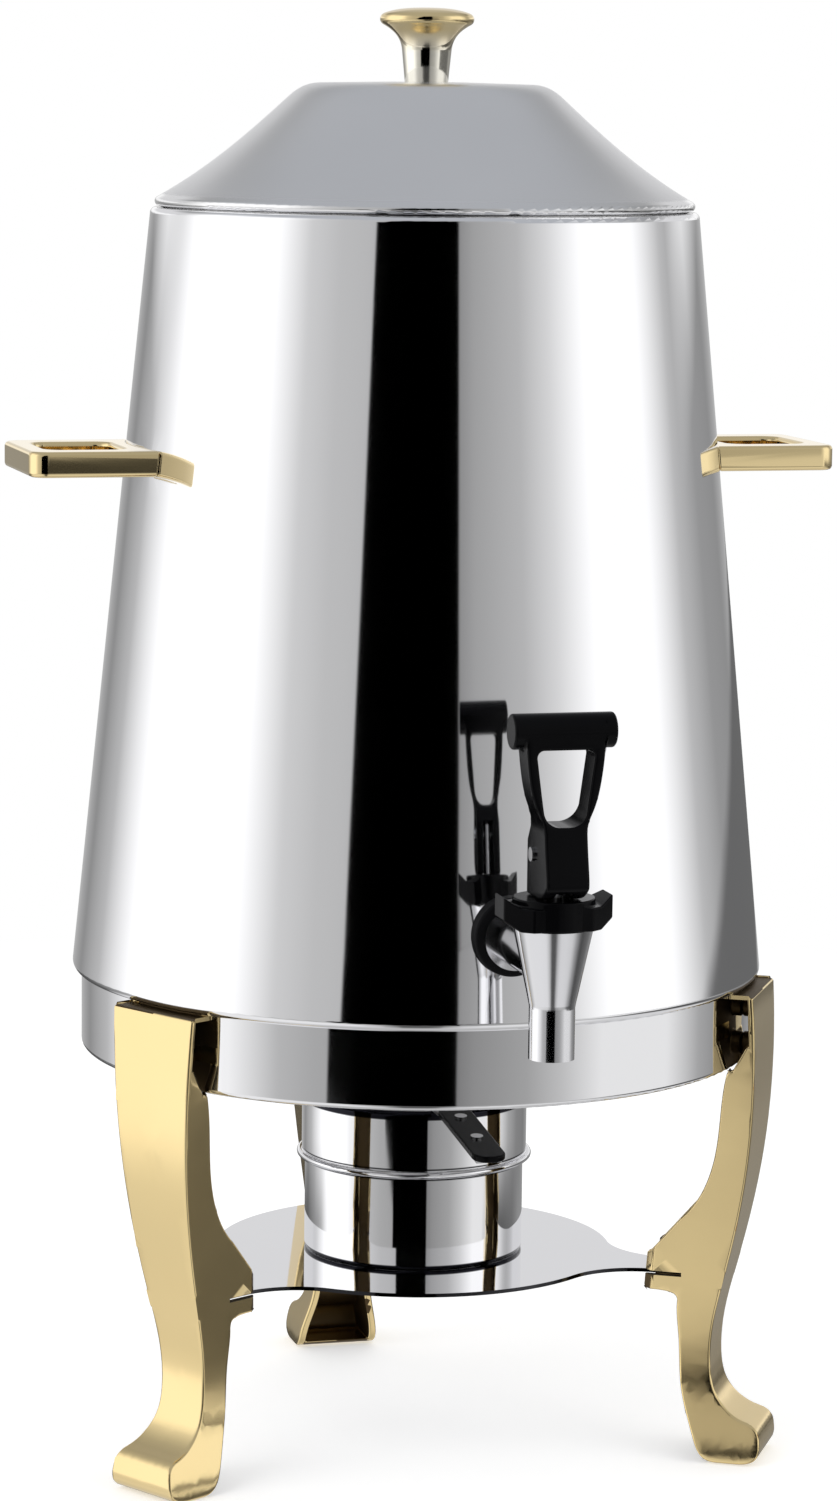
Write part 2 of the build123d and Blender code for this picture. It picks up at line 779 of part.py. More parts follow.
with BuildPart() as valve_spring:
    spring_foot_z = collar_z + collar_t + spring_wire_r + seat_gap
    spring_head_z = bonnet_roof_z - spring_wire_r - seat_gap
    spring_height = spring_head_z - spring_foot_z
    with BuildLine() as coil:
        Helix(spring_height / spring_turns, spring_height, spring_r, center=(0, -tap_reach, spring_foot_z))
    with BuildSketch(Plane(origin=coil.line @ 0, z_dir=coil.line % 0)) as wire:
        Circle(spring_wire_r)
    sweep(wire.sketch, path=coil.line)
save(valve_spring, "valve_spring")

# ================================================================ tap lever
lever_side = Plane(origin=(0, -tap_reach, pivot_z), x_dir=(0, -1, 0), z_dir=(-1, 0, 0))
lever_front = Plane(origin=(0, -tap_reach, pivot_z), x_dir=(1, 0, 0), z_dir=(0, -1, 0))


def cam_point(pull):
    """A point of the cam that lifts the pin evenly: the foot touches here at this pull, in radians."""
    height = cam_height + cam_lead * pull
    forward = height * sin(pull) + cam_lead * cos(pull)
    return (forward, cam_lead * sin(pull) - height * cos(pull))


def fork_edge(along):
    """A point of the fork slot's front edge, which lies just ahead of the stem at full pull."""
    swing = radians(lever_pull + cam_margin)
    ahead = stem_r + lift_gap
    return (ahead * cos(swing) + along * sin(swing), ahead * sin(swing) - along * cos(swing))


with BuildPart() as tap_lever:
    with BuildSketch(lever_side) as side:
        with BuildLine():
            pulls = [radians(lever_pull + cam_margin) * step / 8 for step in range(9)]
            sole = Line((-hub_rear, -cam_height), cam_point(0))
            cam = Spline(*[cam_point(pull) for pull in pulls])
            arm_front = loop_lean + arm_depth / 2
            arm_rear = loop_lean - arm_depth / 2
            front = Spline(
                cam @ 1,
                (arm_front + hub_ahead, -pin_r),
                (arm_front + hub_ahead / 8, 1.5 * hub_rise),
                (arm_front, loop_height),
                tangents=((0.1, 1), (0, 1)),
            )
            Polyline(
                front @ 1,
                (arm_rear, loop_height),
                (arm_rear, 2 * hub_rise),
                (-hub_rear, hub_rise / 2),
                sole @ 0,
            )
        make_face()
    extrude(side.sketch, amount=grip_half, both=True)
    with BuildSketch(lever_front) as face:
        with BuildLine():
            right = Polyline((hub_half, -cam_height - 1), (hub_half, hub_rise))
            arm = Spline(
                right @ 1,
                (0.72 * loop_half, loop_foot + 6),
                (loop_half - 1, loop_height - 15),
                (loop_half, loop_height),
                tangents=((0, 1), (0, 1)),
            )
            mirror(right, about=Plane.YZ)
            mirror(arm, about=Plane.YZ)
            Line((hub_half, -cam_height - 1), (-hub_half, -cam_height - 1))
            Line((loop_half, loop_height), (-loop_half, loop_height))
        make_face()
    extrude(face.sketch, amount=2 * (arm_front + hub_rear), both=True, mode=Mode.INTERSECT)
    with BuildSketch(lever_front) as opening:
        with BuildLine():
            top = loop_height - grip_r
            Polyline(
                (loop_half - loop_wall, top),
                (loop_foot_half, loop_foot),
                (-loop_foot_half, loop_foot),
                (loop_wall - loop_half, top),
                close=True,
            )
        make_face()
        corners = opening.vertices().group_by(Axis.Y)
        fillet(corners[0], radius=0.85 * loop_foot_half)
        fillet(opening.vertices().group_by(Axis.Y)[-1], radius=loop_top_round)
    extrude(opening.sketch, amount=3 * arm_depth, both=True, mode=Mode.SUBTRACT)
    grip_axis = lever_side.shift_origin(lever_side.from_local_coords((loop_lean, loop_height)))
    round_bar(grip_axis, grip_r, -grip_half, 2 * grip_half)
    with BuildSketch(lever_side) as fork:
        with BuildLine():
            Polyline(
                (-hub_rear - 1, -cam_height - 1),
                (-hub_rear - 1, stem_r + 2),
                (stem_r + 2, stem_r + 2),
                fork_edge(stem_r + 2),
                fork_edge(2 * cam_height),
                (2 * cam_height, -2 * cam_height),
                close=True,
            )
        make_face()
    extrude(fork.sketch, amount=fork_half, both=True, mode=Mode.SUBTRACT)
    round_bar(eye, pin_r + pin_gap, -hub_t, 2 * hub_t, Mode.SUBTRACT)
save(tap_lever, "tap_lever")

# ================================================================ burner
with BuildPart() as burner_cup:
    cup_path = [
        (0, shelf_z),
        (cup_outer_r, shelf_z),
        (cup_outer_r, cup_top_z),
        (cup_outer_r - cup_lip, cup_top_z),
    ]
    revolve(bent_sheet(cup_path, 2 * burner_sheet, burner_sheet, Side.LEFT), axis=Axis.Z)
save(burner_cup, "burner_cup")

pivot_plane = Plane(origin=(0, damper_pivot_y, 0))
with BuildPart() as burner_cap:
    cap_path = [(flame_hole_r, cap_top_z), (cap_outer_r, cap_top_z), (cap_outer_r, cap_bead_z)]
    revolve(bent_sheet(cap_path, 3 * burner_sheet, burner_sheet), axis=Axis.Z)
    with BuildSketch(Plane.XZ) as bead:
        with Locations((cap_outer_r - burner_sheet + cap_bead_r, cap_bead_z)):
            Circle(cap_bead_r)
    revolve(bead.sketch, axis=Axis.Z)
    round_bar(pivot_plane, damper_pivot_r + pin_gap, cup_top_z - 1, 2 + burner_sheet, Mode.SUBTRACT)
save(burner_cap, "burner_cap")

with BuildPart() as damper_pivot:
    pivot_head_z = damper_z + damper_t + damper_gap
    round_bar(pivot_plane, damper_pivot_r, cup_top_z, pivot_head_z - cup_top_z)
    round_bar(pivot_plane, pivot_head_r, pivot_head_z, pivot_head_t)
    round_bar(pivot_plane, pivot_foot_r, cup_top_z, -pivot_head_t)
save(damper_pivot, "damper_pivot")

tongue_side = Plane(origin=(0, 0, 0), x_dir=(0, -1, 0), z_dir=(-1, 0, 0))
fall = radians(tongue_fall)
tongue_foot = Plane(origin=(0, -tongue_bend, damper_z), x_dir=(1, 0, 0), z_dir=(0, -sin(fall), cos(fall)))
tongue_top = tongue_foot.offset(damper_t)
rivet_places = [tongue_top.shift_origin(tongue_top.from_local_coords((0, -along))) for along in grip_rivets]

with BuildPart() as damper_plate:
    with BuildSketch(Plane.XY.offset(damper_z)):
        Circle(damper_r)
    extrude(amount=damper_t)
    tongue_tip = (tongue_bend + tongue_length * cos(fall), damper_z - tongue_length * sin(fall))
    tongue_path = [(0, damper_z), (tongue_bend, damper_z), tongue_tip]
    tongue = bent_sheet(tongue_path, 2 * damper_t, damper_t, Side.LEFT, tongue_side)
    extrude(tongue, amount=tongue_half, both=True)
    round_bar(pivot_plane, damper_pivot_r + pin_gap, damper_z - 1, damper_t + 2, Mode.SUBTRACT)
    for place in rivet_places:
        round_bar(place, rivet_r + pin_gap, 1, -damper_t - 2, Mode.SUBTRACT)
save(damper_plate, "damper_plate")

with BuildPart() as damper_grip:
    with BuildSketch(tongue_top) as grip:
        with Locations((0, -grip_start - grip_length / 2)):
            Rectangle(2 * grip_half_width, grip_length)
        fillet(grip.vertices().group_by(Axis.Y)[0], radius=0.9 * grip_half_width)
        fillet(grip.vertices().group_by(Axis.Y)[-1], radius=0.3 * grip_half_width)
    extrude(grip.sketch, amount=grip_t)
    fillet(damper_grip.faces().sort_by(Axis.Z)[-1].edges(), radius=0.3 * grip_t)
    for place in rivet_places:
        round_bar(place, rivet_r + pin_gap, -1, grip_t + 2, Mode.SUBTRACT)
save(damper_grip, "damper_grip")

with BuildPart() as damper_rivets:
    for place in rivet_places:
        round_bar(place, rivet_r, -damper_t, damper_t + grip_t)
        round_bar(place, rivet_head_r, grip_t, rivet_head_t)
        round_bar(place, rivet_head_r, -damper_t, -rivet_head_t)
save(damper_rivets, "damper_rivets")

# ================================================================ lid
shoulder = (shoulder_r, crown_z - shoulder_drop)
rim_touch = Vector(rim_r, rim_z) + Vector(-rim_slope, 1).normalized() * rim_bead_r
with BuildPart() as lid_shell:
    with BuildSketch(Plane.XZ) as dome:
        with BuildLine():
            crown = Line((0, crown_z), (knob_seat_r, crown_z))
            brow = Line(crown @ 1, (crown_r, crown_z - crown_fall))
            bend = Spline(brow @ 1, shoulder, tangents=(brow % 1, (1, shoulder_slope)))
            slope = Spline(bend @ 1, rim_touch, tangents=((1, shoulder_slope), (1, rim_slope)))
            under_bend = behind(bend, sheet, 8)
            under_slope = behind(slope, sheet, 12)
            Line(slope @ 1, under_slope @ 1)
            Polyline(under_bend @ 0, (knob_seat_r, crown_z - sheet), (0, crown_z - sheet), crown @ 0)
        make_face()
    revolve(dome.sketch, axis=Axis.Z)
    with BuildSketch(Plane.XZ) as rolled_rim:
        with Locations((rim_r, rim_z)):
            Circle(rim_bead_r)
    revolve(rolled_rim.sketch, axis=Axis.Z)
    round_bar(Plane.XY, knob_screw_r + thread_gap, crown_z - 2 * sheet, 3 * sheet, Mode.SUBTRACT)
save(lid_shell, "lid_shell")

with BuildPart() as lid_collar:
    rise = (rim_touch.X - collar_outer_r) * -rim_slope
    collar_top_z = rim_touch.Y + rise - sheet * sqrt(1 + rim_slope**2) - collar_seat_gap
    collar_foot_z = body_top_z - collar_depth
    collar_path = [
        (collar_outer_r, collar_top_z),
        (collar_outer_r, collar_foot_z),
        (collar_outer_r - collar_hem, collar_foot_z),
    ]
    revolve(bent_sheet(collar_path, sheet, collar_sheet), axis=Axis.Z)
save(lid_collar, "lid_collar")

with BuildPart() as lid_knob:
    knob_top_z = crown_z + knob_height
    knob_rim_z = knob_top_z - knob_rim_drop
    with BuildSketch(Plane.XZ) as turning:
        with BuildLine():
            foot = Line((0, crown_z), (knob_stem_r, crown_z))
            neck = Line(foot @ 1, (knob_neck_r, crown_z + knob_neck_rise))
            bell = Spline(
                neck @ 1,
                neck @ 1 + Vector(*knob_bell),
                (knob_rim_r - knob_lip_under[0], knob_rim_z - knob_lip_under[1]),
                tangents=(neck % 1, (1, 0.55)),
            )
            rim = Spline(
                bell @ 1,
                (knob_rim_r, knob_rim_z),
                (knob_rim_r - knob_lip_over[0], knob_rim_z + knob_lip_over[1]),
                tangents=(bell % 1, (-1, 0.4)),
            )
            dome = Spline(rim @ 1, (0, knob_top_z), tangents=(rim % 1, (-1, 0)))
            Line(dome @ 1, foot @ 0)
        make_face()
    revolve(turning.sketch, axis=Axis.Z)
    round_bar(Plane.XY, knob_screw_r + thread_gap, crown_z - 1, knob_screw_bite + 3, Mode.SUBTRACT)
save(lid_knob, "lid_knob")

washer_z = crown_z - sheet - knob_washer_t
with BuildPart() as knob_washer:
    round_bar(Plane.XY, knob_washer_r, washer_z, knob_washer_t)
    round_bar(Plane.XY, knob_screw_r + thread_gap, washer_z, knob_washer_t, Mode.SUBTRACT)
save(knob_washer, "knob_washer")

with BuildPart() as knob_screw:
    round_bar(Plane.XY, knob_screw_head_r, washer_z, -knob_screw_head_t)
    round_bar(Plane.XY, knob_screw_r, washer_z, knob_washer_t + sheet + knob_screw_bite)
save(knob_screw, "knob_screw")
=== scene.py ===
"""Looks of the coffee urn: polished steel, pale gold castings and black plastic, in a white studio."""
import json
from functools import cache
from math import atan2, cos, radians, sin

import bmesh
import bpy
from mathutils import Matrix, Vector


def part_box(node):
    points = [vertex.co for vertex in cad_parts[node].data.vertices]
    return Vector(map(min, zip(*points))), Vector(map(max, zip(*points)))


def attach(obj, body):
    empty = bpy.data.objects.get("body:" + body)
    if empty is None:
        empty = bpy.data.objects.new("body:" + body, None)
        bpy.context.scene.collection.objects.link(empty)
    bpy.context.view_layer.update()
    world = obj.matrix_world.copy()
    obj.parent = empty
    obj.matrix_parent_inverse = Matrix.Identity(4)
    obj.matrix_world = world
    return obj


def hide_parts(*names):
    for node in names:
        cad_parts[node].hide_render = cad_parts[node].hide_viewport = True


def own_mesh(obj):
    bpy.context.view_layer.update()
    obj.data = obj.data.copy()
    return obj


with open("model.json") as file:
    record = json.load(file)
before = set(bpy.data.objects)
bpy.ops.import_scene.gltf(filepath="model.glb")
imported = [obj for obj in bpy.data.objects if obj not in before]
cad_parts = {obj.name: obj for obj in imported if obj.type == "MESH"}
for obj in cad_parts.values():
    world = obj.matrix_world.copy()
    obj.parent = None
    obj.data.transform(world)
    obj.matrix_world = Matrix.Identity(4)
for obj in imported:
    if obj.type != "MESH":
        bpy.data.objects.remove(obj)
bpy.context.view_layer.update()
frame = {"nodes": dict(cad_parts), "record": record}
MM = 0.001


def heights(name):
    """A node's lowest and highest level."""
    low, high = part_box(name)
    return low.z, high.z


# ---------------------------------------------------------------- camera
VIEW_AZIMUTH = radians(15.17)  # the camera stands this far round from the tap, to the left
VIEW_PITCH = radians(8.04)  # and looks down by this
VIEW_ROLL = radians(0.68)
VIEW_DISTANCE = 1.8281  # metres from the urn's axis
VIEW_HEIGHT = 0.5321
LENS = 112.32  # focal length in mm, on a sensor of this height
SENSOR_HEIGHT = 36.0
CLIP_START = 0.05
CLIP_END = 60.0

to_camera = Vector((-sin(VIEW_AZIMUTH), -cos(VIEW_AZIMUTH), 0))


def add_camera():
    """The photograph's camera."""
    level = cos(VIEW_PITCH)
    forward = Vector((-to_camera.x * level, -to_camera.y * level, -sin(VIEW_PITCH)))
    level_right = Vector((cos(VIEW_AZIMUTH), -sin(VIEW_AZIMUTH), 0))
    level_up = level_right.cross(forward)
    right = cos(VIEW_ROLL) * level_right + sin(VIEW_ROLL) * level_up
    up = -sin(VIEW_ROLL) * level_right + cos(VIEW_ROLL) * level_up
    data = bpy.data.cameras.new("camera")
    data.sensor_fit = "VERTICAL"
    data.sensor_height = SENSOR_HEIGHT
    data.lens = LENS
    data.clip_start = CLIP_START
    data.clip_end = CLIP_END
    camera = bpy.data.objects.new("camera", data)
    place = Matrix((right, up, -forward)).transposed().to_4x4()
    place.translation = to_camera * VIEW_DISTANCE + Vector((0, 0, VIEW_HEIGHT))
    camera.matrix_world = place
    bpy.context.scene.collection.objects.link(camera)
    bpy.context.scene.camera = camera


# ---------------------------------------------------------------- node helpers
MIX_COLORS = (6, 7)  # the colour inputs of a Mix node
MIX_RESULT = 2  # and its colour output
WHITE = 1.0
BLACK = 0.0


def rgba(tone):
    """A colour with its alpha, from red, green and blue or from one grey."""
    return (*tone, 1.0) if isinstance(tone, tuple) else (tone, tone, tone, 1.0)


class Nodes:
    """A short way to write a shader's node tree."""

    def __init__(self, tree):
        self.tree = tree
        tree.nodes.clear()

    def add(self, kind, **settings):
        node = self.tree.nodes.new(kind)
        for key, value in settings.items():
            setattr(node, key, value)
        return node

    def put(self, socket, value):
        """Links an output to an input, or sets the input to a plain number, vector or tone."""
        if isinstance(value, bpy.types.NodeSocket):
            self.tree.links.new(value, socket)
        elif socket.type == "RGBA":
            socket.default_value = rgba(value)
        else:
            socket.default_value = value

    def fill(self, node, **values):
        """Puts a value in each named input; an underscore stands for a space in its name."""
        for name, value in values.items():
            self.put(node.inputs[name.replace("_", " ")], value)
        return node

    def math(self, operation, a, b=0.0, c=0.0, clamp=False):
        node = self.add("ShaderNodeMath", operation=operation, use_clamp=clamp)
        for socket, value in zip(node.inputs, (a, b, c)):
            self.put(socket, value)
        return node.outputs[0]

    def product(self, first, *others):
        """All the factors multiplied; where they are 0 to 1, it is 1 only where all of them are."""
        for other in others:
            first = self.math("MULTIPLY", first, other)
        return first

    def rise(self, value, start, end):
        """0 at the start, 1 at the end and even between them; an end below the start turns it round."""
        span = end - start
        return self.math("MULTIPLY_ADD", value, 1 / span, -start / span, clamp=True)

    def split(self, vector):
        """A vector's x, y and z."""
        node = self.add("ShaderNodeSeparateXYZ")
        self.put(node.inputs[0], vector)
        return tuple(node.outputs)

    def ramp(self, factor, stops):
        """Blends a row of (position, tone) stops, whose positions run up from 0 to 1."""
        node = self.add("ShaderNodeValToRGB")
        elements = node.color_ramp.elements
        for position, _ in stops[1:-1]:
            elements.new(position)
        for element, (position, tone) in zip(elements, stops):
            element.position = position
            element.color = rgba(tone)
        self.put(node.inputs[0], factor)
        return node.outputs[0]

    def mix(self, factor, a, b):
        """Goes from tone a to tone b."""
        node = self.add("ShaderNodeMix", data_type="RGBA")
        self.put(node.inputs[0], factor)
        for index, tone in zip(MIX_COLORS, (a, b)):
            self.put(node.inputs[index], tone)
        return node.outputs[MIX_RESULT]

    def mix_shader(self, factor, a, b):
        node = self.add("ShaderNodeMixShader")
        for socket, value in zip(node.inputs, (factor, a, b)):
            self.put(socket, value)
        return node.outputs[0]

    def background(self, tone, strength=1.0):
        node = self.fill(self.add("ShaderNodeBackground"), Color=tone, Strength=strength)
        return node.outputs[0]

    def noise(self, vector, scale, detail, roughness=0.5):
        node = self.add("ShaderNodeTexNoise")
        self.fill(node, Vector=vector, Scale=scale, Detail=detail, Roughness=roughness)
        return node.outputs["Fac"]


# ---------------------------------------------------------------- studio
# Metal mirrors a room that is painted on the sky, tone over tone. Its angles are in degrees: azimuths
# run round from the camera, 0 towards it and positive to the right, and heights run up from the level.
# A border is a pair of angles, from where a tone sets in to where it is full.
WALLS = (
    (-178, 0.55), (-150, 0.28), (-131, 0.50), (-106, 1.25), (-66, 1.25), (-53, 0.84), (-47, 0.65),
    (-34, 0.54), (-22, 0.51), (10, 0.22), (20, 0.37), (38, 0.49), (51, 0.72), (66, 1.1), (95, 1.1),
    (113, 0.52), (130, 0.32), (150, 0.28), (178, 0.55),
)  # azimuths and tones: a white panel on either side, and greys between them
GROUND = (
    (-178, 0.08), (-150, 0.10), (-120, 0.34), (-95, 0.88), (-50, 0.82), (-26, 0.72), (-13, 0.42),
    (-5, 0.10), (10, 0.10), (16, 0.34), (40, 0.50), (62, 0.50), (78, 0.16), (100, 0.08), (130, 0.16),
    (148, 0.28), (166, 0.28), (178, 0.10),
)  # azimuths and tones
FULL_TURN = 360
AMBIENT = 0.62  # strength of the even light on what isn't mirrored


class Room(Nodes):
    """The mirrored room's nodes: the direction that is looked in, and the tone painted there so far."""

    def __init__(self, tree):
        super().__init__(tree)
        turn = self.add("ShaderNodeVectorRotate", rotation_type="Z_AXIS")
        direction = self.add("ShaderNodeTexCoord").outputs["Generated"]
        self.fill(turn, Vector=direction, Angle=-atan2(to_camera.y, to_camera.x))
        x, y, z = self.split(turn.outputs["Vector"])
        self.azimuth = self.math("ARCTAN2", y, x)
        self.aside = self.math("ABSOLUTE", self.azimuth)
        self.height = self.math("ARCSINE", z)
        self.tone = self.around(WALLS)

    def around(self, row):
        """A row of tones at azimuths, blended all the way round."""
        turned = self.math("MULTIPLY_ADD", self.azimuth, 1 / radians(FULL_TURN), 0.5)
        return self.ramp(turned, [(azimuth / FULL_TURN + 0.5, tone) for azimuth, tone in row])

    def past(self, angle, border):
        """0 on one side of a border and 1 on the other."""
        return self.rise(angle, *map(radians, border))

    def between(self, angle, start, end):
        """1 between two borders, which both run inwards, and 0 outside them."""
        return self.product(self.past(angle, start), self.past(angle, end))

    def either(self, a, b):
        """1 where one of the two is."""
        return self.math("MAXIMUM", a, b)

    def paint(self, where, tone):
        """Lays a tone over the others, as far as where is 1."""
        self.tone = self.mix(where, self.tone, tone)


def ceiling(room):
    """Bluish grey overhead."""
    border, tone = (25, 51), (0.46, 0.475, 0.505)
    room.paint(room.past(room.height, border), tone)


def back_panel(room):
    """A panel behind the urn, white low down and pale grey above."""
    side, foot, top = (118, 134), (0.5, 3.5), (30, 22)
    change, pale = (7, 11), (0.72, 0.72, 0.73)
    panel = room.product(room.past(room.aside, side), room.between(room.height, foot, top))
    room.paint(panel, room.mix(room.past(room.height, change), WHITE, pale))


def low_gap(room):
    """A dark gap on the right, a little below the level."""
    side, foot, top, tone = (60, 68), (-9.8, -9.2), (-4.6, -5.2), 0.14
    room.paint(room.product(room.past(room.azimuth, side), room.between(room.height, foot, top)), tone)


def low_strip(room):
    """A strip in front on the right, a little below the level, first black and then pale."""
    foot, top, softness = (-8.6, -8.0), (-3.6, -4.1), 1
    parts = ((14, 30, 0.05), (30, 54, 0.72))  # from one azimuth to another, and the tone
    strip = room.between(room.height, foot, top)
    for start, end, tone in parts:
        part = room.between(room.azimuth, (start, start + softness), (end, end - softness))
        room.paint(room.product(strip, part), tone)


def low_shade(room):
    """A light shade over all that lies further down, but not on the left."""
    top, side, share = (-9.8, -10.8), (-78, -68), 0.24
    room.paint(room.product(room.past(room.height, top), room.past(room.azimuth, side), share), BLACK)


def black_flag(room):
    """A black flag in front, whose left edge slants, and stands further right low down."""
    left, slant, softness = radians(-24), 0.45, (-0.4, 0.4)
    step, step_top = radians(9), (-12.6, -13.6)
    right, top = (14.4, 13.6), (34, 30)
    edge = room.math("MULTIPLY_ADD", room.height, slant, left)
    edge = room.math("MULTIPLY_ADD", room.past(room.height, step_top), step, edge)
    from_left = room.past(room.math("SUBTRACT", room.azimuth, edge), softness)
    flag = room.product(from_left, room.past(room.azimuth, right), room.past(room.height, top))
    room.paint(flag, BLACK)


def ground(room):
    """The ground has its own row of tones, and starts higher at the sides and higher still behind."""
    top, side_rise, right, left = (-17, -21), radians(4), (68, 80), (-116, -128)
    back_top, back_right, back_left = (-12.8, -13.8), (88, 98), (-98, -114)
    tones = room.around(GROUND)
    sides = room.either(room.past(room.azimuth, right), room.past(room.azimuth, left))
    lowered = room.math("MULTIPLY_ADD", sides, -side_rise, room.height)
    room.paint(room.past(lowered, top), tones)
    back = room.either(room.past(room.azimuth, back_right), room.past(room.azimuth, back_left))
    room.paint(room.product(back, room.past(room.height, back_top)), tones)


def counter(room):
    """A pale counter low down, but not straight in front."""
    top, side, share, tone = (-27, -33), (6, 26), 0.75, (0.88, 0.88, 0.89)
    room.paint(room.product(room.past(room.height, top), room.past(room.aside, side), share), tone)


def bottom(room):
    """Middle grey at the very bottom."""
    border, tone = (-48, -74), 0.50
    room.paint(room.past(room.height, border), tone)


def build_world():
    """Metal mirrors the room, other surfaces get even white light and the camera sees plain white."""
    world = bpy.data.worlds.new("studio")
    bpy.context.scene.world = world
    world.use_nodes = True
    room = Room(world.node_tree)
    for part in (ceiling, back_panel, low_gap, low_strip, low_shade, black_flag, ground, counter, bottom):
        part(room)
    mirrored, even = room.background(room.tone), room.background(WHITE, AMBIENT)
    path = room.add("ShaderNodeLightPath").outputs
    lit = room.mix_shader(path["Is Glossy Ray"], even, mirrored)
    seen = room.either(path["Is Camera Ray"], path["Is Transmission Ray"])
    shown = room.mix_shader(seen, lit, room.background(WHITE))
    room.fill(room.add("ShaderNodeOutputWorld"), Surface=shown)
    world.cycles.sampling_method = "NONE"


def build_floor():
    """A pale floor that fades into the white backdrop and keeps the urn's shadow."""
    half, drop = 12.0, 0.4 * MM  # it lies just under the soles, never in their plane
    fade_from, fade_to = 0.3, 1.1  # distances from the urn's axis
    tone, glow = 0.86, 0.42  # the camera alone sees the glow, which lifts the paper to white
    mesh = bpy.data.meshes.new("floor")
    corners = [(x * half, y * half, 0) for x, y in ((-1, -1), (1, -1), (1, 1), (-1, 1))]
    mesh.from_pydata(corners, [], [(0, 1, 2, 3)])
    floor = bpy.data.objects.new("floor", mesh)
    bpy.context.scene.collection.objects.link(floor)
    floor.location.z = -drop
    floor.visible_glossy = False
    material = bpy.data.materials.new("floor")
    material.use_nodes = True
    n = Nodes(material.node_tree)
    by_camera = n.add("ShaderNodeLightPath").outputs["Is Camera Ray"]
    paper = n.add("ShaderNodeBsdfPrincipled")
    n.fill(paper, Base_Color=tone, Roughness=0.9, Specular_IOR_Level=0.0)
    n.fill(paper, Emission_Color=WHITE, Emission_Strength=n.product(by_camera, glow))
    distance = n.add("ShaderNodeVectorMath", operation="LENGTH")
    n.put(distance.inputs[0], n.add("ShaderNodeTexCoord").outputs["Object"])
    faded = n.product(n.rise(distance.outputs["Value"], fade_from, fade_to), by_camera)
    backdrop = n.add("ShaderNodeEmission")
    seen = n.mix_shader(faded, paper.outputs[0], backdrop.outputs[0])
    n.fill(n.add("ShaderNodeOutputMaterial"), Surface=seen)
    mesh.materials.append(material)


def area_light(name, azimuth, height, distance, size, power):
    """A large soft lamp that faces the urn's middle, at an azimuth in degrees round from the camera."""
    aim = Vector((0, 0, 0.25))
    data = bpy.data.lights.new(name, "AREA")
    data.shape = "SQUARE"
    data.size = size
    data.energy = power
    lamp = bpy.data.objects.new(name, data)
    outward = Matrix.Rotation(radians(azimuth), 3, "Z") @ to_camera
    lamp.location = outward * distance + Vector((0, 0, height))
    lamp.rotation_euler = (aim - lamp.location).to_track_quat("-Z", "Y").to_euler()
    lamp.visible_glossy = False
    bpy.context.scene.collection.objects.link(lamp)


add_camera()
build_world()
build_floor()
area_light("key", azimuth=-48, height=2.2, distance=2.2, size=1.8, power=22)
area_light("fill", azimuth=62, height=1.6, distance=2.4, size=2.0, power=12)
area_light("back", azimuth=170, height=2.4, distance=2.0, size=1.8, power=10)


# ---------------------------------------------------------------- materials
# Noises: scale is how many of its features lie in a metre, detail how many finer layers it has.
WIPE_MARKS = dict(scale=60.0, detail=4.0, roughness=0.6)
WORN_CLOUD = dict(scale=14.0, detail=2.0)
SHEET_WAVE = dict(scale=9.0, detail=1.0)
FINE_GRAIN = dict(scale=900.0, detail=2.0)
MOTTLE = dict(scale=40.0, detail=3.0)
SKIN = dict(scale=1400.0, detail=2.0)
SKIN_DEPTH = 0.02 * MM
SKIN_STRENGTH = 0.6
MOTTLE_GAIN = 1.5  # the lighter colour of plastic, from its own
MOTTLE_LIFT = 0.001
# the soft border of a band of painted shade
SHADE_BAND_BORDER = 0.4 * MM


class Surface(Nodes):
    """A new material with one Principled shader."""

    def __init__(self, name):
        self.material = bpy.data.materials.new(name)
        self.material.use_nodes = True
        super().__init__(self.material.node_tree)
        self.shader = self.add("ShaderNodeBsdfPrincipled")
        self.fill(self.add("ShaderNodeOutputMaterial"), Surface=self.shader.outputs[0])
        self.place = self.add("ShaderNodeTexCoord").outputs

    def bump(self, height, strength, distance):
        """Makes the surface uneven; a height of 1 stands for the distance."""
        node = self.add("ShaderNodeBump")
        self.fill(node, Height=height, Strength=strength, Distance=distance)
        self.fill(self.shader, Normal=node.outputs[0])

    def height(self):
        """The height of the shaded point in the piece's own frame, which is the shared frame at rest."""
        return self.split(self.place["Object"])[2]

    def cut_edge(self):
        """1 on a plate's rim, whose surface stands upright, and 0 on its flat sides."""
        flat = 0.5  # the vertical part of a normal from which a surface counts as flat
        vertical = self.math("ABSOLUTE", self.split(self.place["Normal"])[2])
        return self.math("LESS_THAN", vertical, flat)

    def shade_bands(self, spans):
        """1 on the bands of painted shade, which lie between pairs of heights and have soft borders, and
        0 elsewhere.
        """
        height = self.height()
        total = 0.0
        for low, high in spans:
            off = self.math("ABSOLUTE", self.math("SUBTRACT", height, (low + high) / 2))
            half = (high - low) / 2
            total = self.math("MAXIMUM", total, self.rise(off, half, half - SHADE_BAND_BORDER))
        return total

    def tint(self, share, color):
        """Mixes a share of another colour into the base colour."""
        base = self.shader.inputs["Base Color"]
        self.put(base, self.mix(share, base.links[0].from_socket, color))


def metal(name, color, worn, roughness, spread, wave=0.0, grain=0.0, grain_scale=(1, 1, 1)):
    """A metal with faint wiping marks, whose colour and roughness vary; wave and grain are in mm."""
    n = Surface(name)
    place = n.place["Object"]
    stretched = n.fill(n.add("ShaderNodeMapping"), Vector=place, Scale=grain_scale).outputs[0]
    marks = n.noise(stretched, **WIPE_MARKS)
    smear = n.math("MULTIPLY_ADD", marks, spread, roughness - spread / 2)
    tone = n.mix(n.noise(place, **WORN_CLOUD), color, worn)
    n.fill(n.shader, Metallic=1.0, Base_Color=tone, Roughness=smear)
    if wave or grain:
        waves = n.product(n.noise(place, **SHEET_WAVE), wave)
        grains = n.product(n.noise(stretched, **FINE_GRAIN), grain)
        n.bump(n.math("ADD", waves, grains), strength=1.0, distance=MM)
    return n


